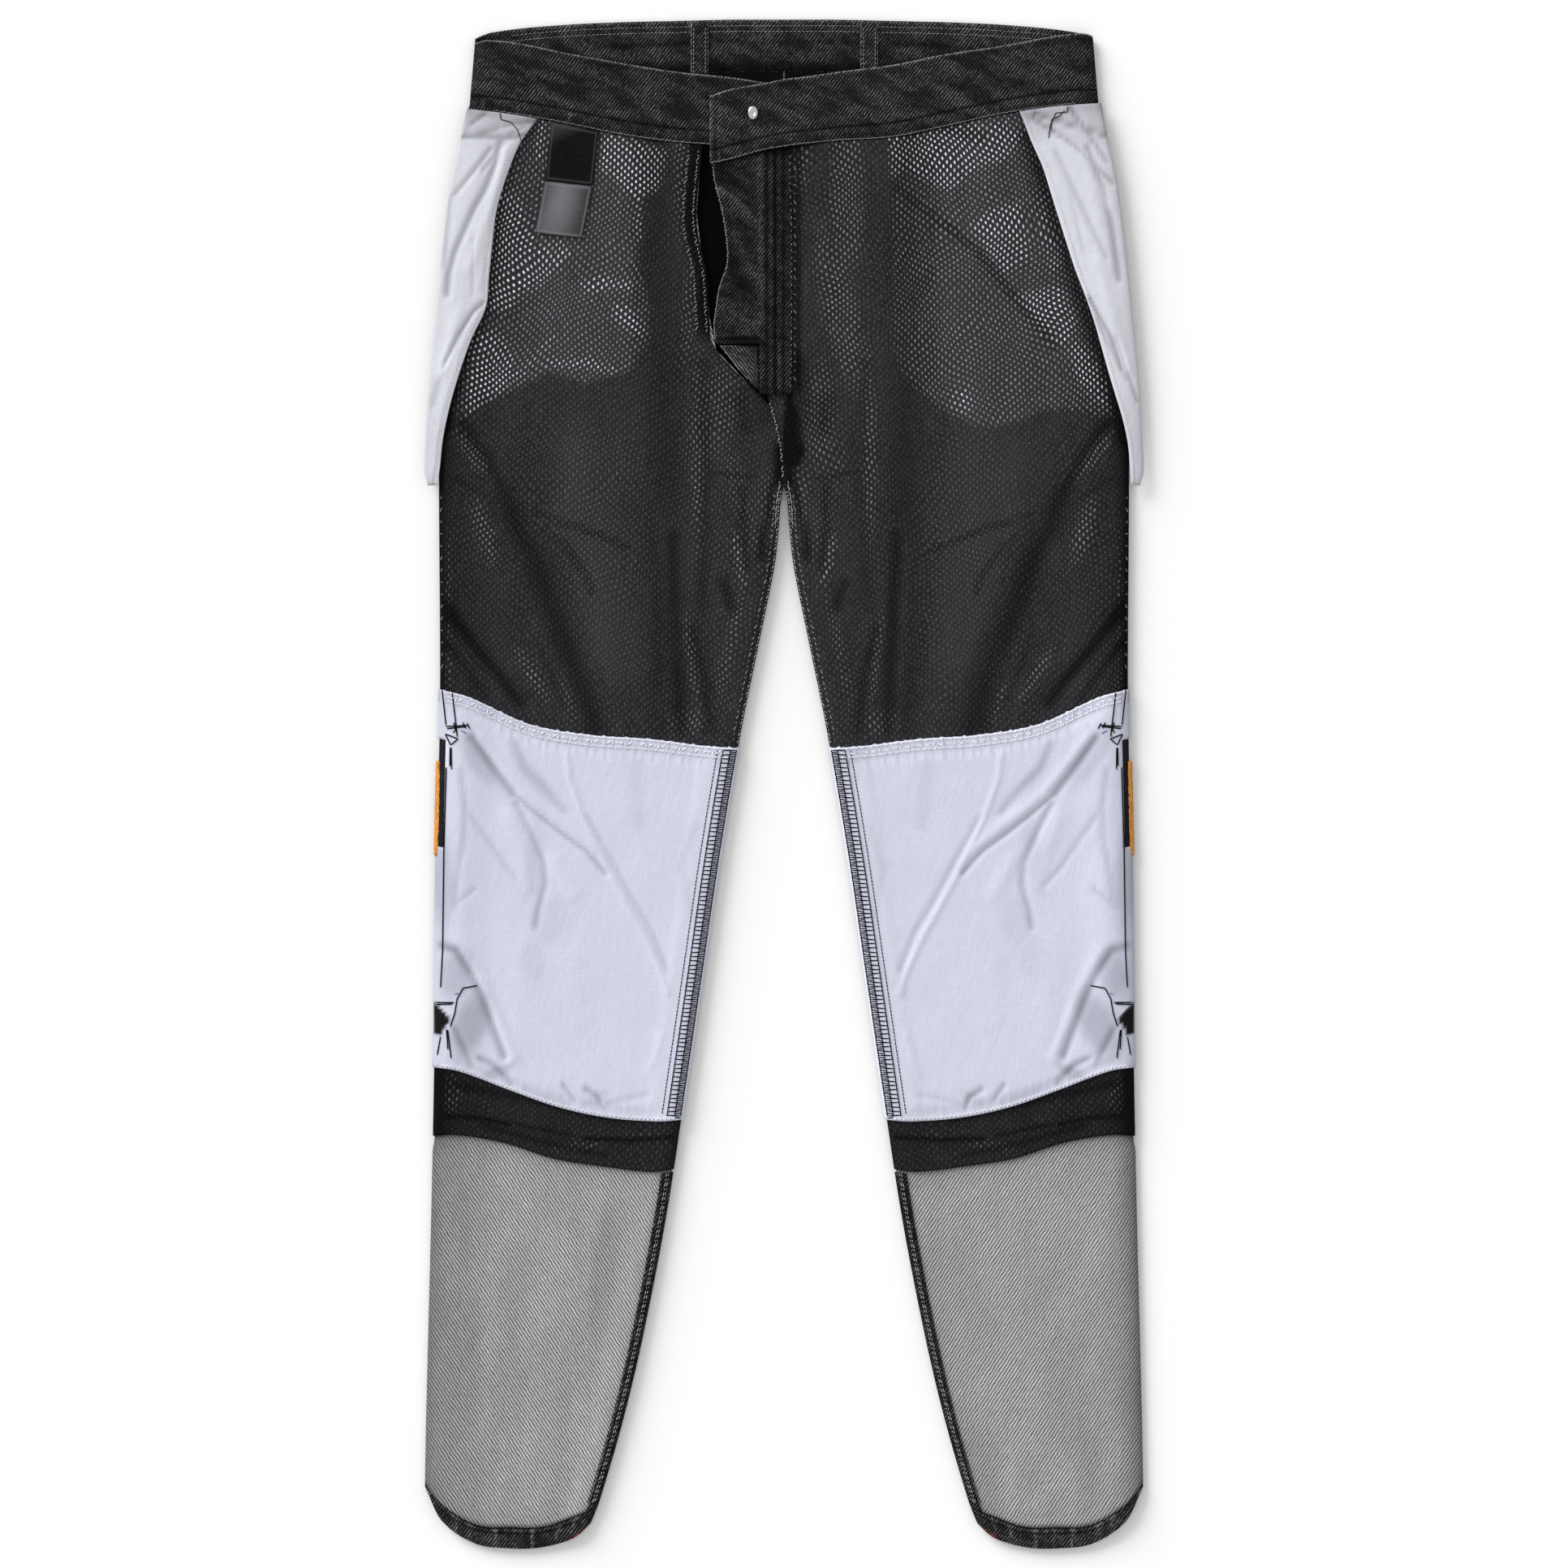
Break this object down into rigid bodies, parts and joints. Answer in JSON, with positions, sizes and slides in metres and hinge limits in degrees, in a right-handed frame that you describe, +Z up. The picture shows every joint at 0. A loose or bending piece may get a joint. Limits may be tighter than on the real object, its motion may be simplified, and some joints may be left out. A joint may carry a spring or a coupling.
{
  "type": "motorcycle trousers turned inside out",
  "caption": "Armoured motorcycle jeans turned inside out and laid flat, showing mesh lining, knee armour pockets, pocket bags, fly shield and grey wrong-side denim",
  "frame": {"origin": "middle of the garment's length and width, on the surface that it lies on", "axes": "+Y to the waist, +Z up out of the front, +X to the right seen from above with the waist at the top"},
  "size_m": [0.5132, 1.0918, 0.0122],
  "materials": {
    "denim_wrong_side": "dry twill, grey wrong side",
    "black_denim": "worn black denim face",
    "mesh_lining": "warp-knit mesh with small hexagonal holes",
    "poplin": "smooth plain weave, lilac white",
    "bag_cloth": "smooth plain weave, cool white",
    "hook_tape": "woven tape with short hooks",
    "orange_lining": "dull knitted lining",
    "satin_label": "smooth satin",
    "care_label": "matt satin",
    "steel": "plated, domed"
  },
  "bodies": {
    "root": {"leg_front_left": "denim_wrong_side", "leg_front_right": "denim_wrong_side", "leg_back_left": "denim_wrong_side", "leg_back_right": "denim_wrong_side", "lining_front_left": "mesh_lining", "lining_front_right": "mesh_lining", "lining_back_left": "mesh_lining", "lining_back_right": "mesh_lining", "knee_pocket_left": "poplin", "knee_pocket_right": "poplin", "knee_hook_tape_left": "hook_tape", "knee_hook_tape_right": "hook_tape", "knee_lining_edge_left": "orange_lining", "knee_lining_edge_right": "orange_lining", "pocket_bag_left": "bag_cloth", "pocket_bag_right": "bag_cloth", "waistband_front_left": "black_denim", "waistband_front_right": "black_denim", "waistband_back": "black_denim", "belt_loop_left": "black_denim", "belt_loop_right": "black_denim", "fly_shield": "black_denim", "fly_corner": "denim_wrong_side", "button_tack": "steel", "hem_front_left": "black_denim", "hem_front_right": "black_denim", "hem_back_left": "black_denim", "hem_back_right": "black_denim", "inseam_allowance_left": "black_denim", "inseam_allowance_right": "black_denim", "label_satin": "satin_label", "label_care": "care_label"}
  },
  "joints": []
}
